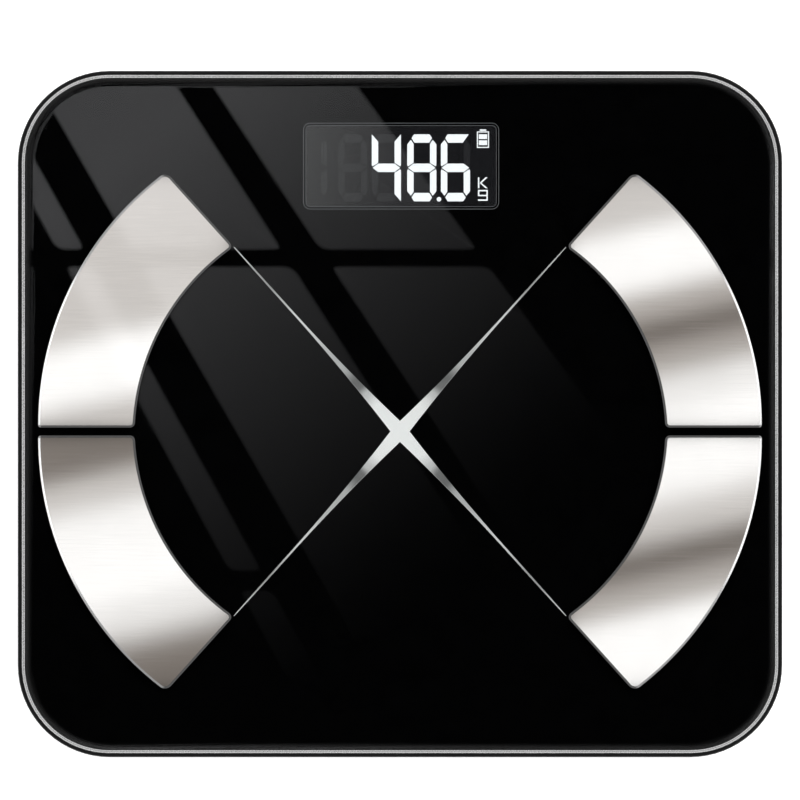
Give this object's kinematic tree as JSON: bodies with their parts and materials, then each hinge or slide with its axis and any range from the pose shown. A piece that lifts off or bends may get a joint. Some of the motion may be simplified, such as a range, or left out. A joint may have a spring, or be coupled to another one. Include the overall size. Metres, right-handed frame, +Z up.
{
  "type": "digital bathroom scale",
  "caption": "Low rounded-rectangular glass platform scale with curved steel foot electrodes, a star-shaped mirror inlay and a lit numeric display, standing on round load-cell feet.",
  "frame": {"origin": "on the floor, under the middle of the outline", "axes": "+Z up, +Y towards the edge with the display, +X to the right for a person reading the display"},
  "size_m": [0.28, 0.2514, 0.0248],
  "materials": {
    "clear_glass": "polished, ground round edge",
    "black_print": "opaque black screen print under the glass",
    "mirror_print": "silver mirror print",
    "smoke_film": "smoke-tinted clear film",
    "line_print": "thin grey printed lines",
    "electrode_steel": "brushed, with a polished bevel",
    "black_tape": "thin black adhesive",
    "zinc_steel": "zinc plated",
    "brass_lug": "tinned brass",
    "blue_wire": "wire insulation",
    "trim_plating": "satin plated plastic",
    "foam_tape": "double-sided foam tape",
    "black_plastic": "fine spark texture, glossy lip",
    "label_film": "blank satin label",
    "screw_steel": "zinc plated",
    "gauge_film": "polyimide film",
    "red_wire": "wire insulation",
    "white_wire": "wire insulation",
    "black_wire": "wire insulation",
    "door_plastic": "fine spark texture",
    "cell_wrap": "shrink sleeve",
    "spring_steel": "nickel plated",
    "contact_plate": "nickel plated",
    "battery_lead": "wire insulation",
    "green_board": "solder mask",
    "chip_black": "moulded epoxy",
    "shield_can": "tinned can",
    "connector_white": "nylon",
    "button_plastic": "satin",
    "plunger_plastic": "nylon",
    "switch_black": "nylon",
    "reflector_black": "black moulding",
    "segment_lit": "lit light pipe",
    "segment_unlit": "unlit light pipe behind a smoke film",
    "led_chip": "phosphor-topped chip",
    "ribbon": "flat flexible cable",
    "cell_steel": "stamped, plated",
    "bracket_plastic": "moulded",
    "foot_plastic": "moulded",
    "foot_rubber": "moulded, matt"
  },
  "bodies": {
    "platform": {"glass_panel": "clear_glass", "black_print": "black_print", "star_print": "mirror_print", "window_film": "smoke_film", "window_lines": "line_print", "electrode_rear_right": "electrode_steel", "electrode_rear_left": "electrode_steel", "electrode_front_right": "electrode_steel", "electrode_front_left": "electrode_steel", "electrode_tapes": "black_tape", "stud_nuts": "zinc_steel", "ring_lugs": "brass_lug", "electrode_wires": "blue_wire", "trim_ring": "trim_plating", "glass_tape": "foam_tape", "bottom_housing": "black_plastic", "rating_label": "label_film", "load_cell_rear_right": "cell_steel", "load_cell_rear_left": "cell_steel", "load_cell_front_right": "cell_steel", "load_cell_front_left": "cell_steel", "bracket_rear_right": "bracket_plastic", "bracket_rear_left": "bracket_plastic", "bracket_front_right": "bracket_plastic", "bracket_front_left": "bracket_plastic", "bracket_screws": "screw_steel", "strain_gauges": "gauge_film", "cell_wires_red": "red_wire", "cell_wires_white": "white_wire", "cell_wires_black": "black_wire", "battery_cell_1": "cell_wrap", "battery_cell_2": "cell_wrap", "battery_cell_3": "cell_wrap", "battery_springs": "spring_steel", "battery_contacts": "contact_plate", "battery_wires": "battery_lead", "main_board": "green_board", "board_chips": "chip_black", "radio_module": "shield_can", "wire_connectors": "connector_white", "board_screws": "screw_steel", "unit_switch": "switch_black", "display_board": "green_board", "display_reflector": "reflector_black", "segments_lit": "segment_lit", "segments_unlit": "segment_unlit", "display_leds": "led_chip", "display_screws": "screw_steel", "display_cable": "ribbon"},
    "foot_rear_right": {"foot_cup_rear_right": "foot_plastic", "foot_pad_rear_right": "foot_rubber"},
    "foot_rear_left": {"foot_cup_rear_left": "foot_plastic", "foot_pad_rear_left": "foot_rubber"},
    "foot_front_right": {"foot_cup_front_right": "foot_plastic", "foot_pad_front_right": "foot_rubber"},
    "foot_front_left": {"foot_cup_front_left": "foot_plastic", "foot_pad_front_left": "foot_rubber"},
    "battery_door": {"battery_door": "door_plastic"},
    "unit_button": {"unit_button": "button_plastic", "switch_plunger": "plunger_plastic"}
  },
  "joints": [
    {"name": "foot_play_rear_right", "type": "slide", "parent": "platform", "child": "foot_rear_right", "axis": [0, 0, 1], "range_m": [-0.00055, 0]},
    {"name": "foot_play_rear_left", "type": "slide", "parent": "platform", "child": "foot_rear_left", "axis": [0, 0, 1], "range_m": [-0.00055, 0]},
    {"name": "foot_play_front_right", "type": "slide", "parent": "platform", "child": "foot_front_right", "axis": [0, 0, 1], "range_m": [-0.00055, 0]},
    {"name": "foot_play_front_left", "type": "slide", "parent": "platform", "child": "foot_front_left", "axis": [0, 0, 1], "range_m": [-0.00055, 0]},
    {"name": "battery_door_lift", "type": "slide", "parent": "platform", "child": "battery_door", "axis": [0, 0, -1], "range_m": [0, 0.03]},
    {"name": "unit_button_press", "type": "slide", "parent": "platform", "child": "unit_button", "axis": [0, 0, 1], "range_m": [0, 0.0007], "stiffness_N_per_m": 600}
  ]
}
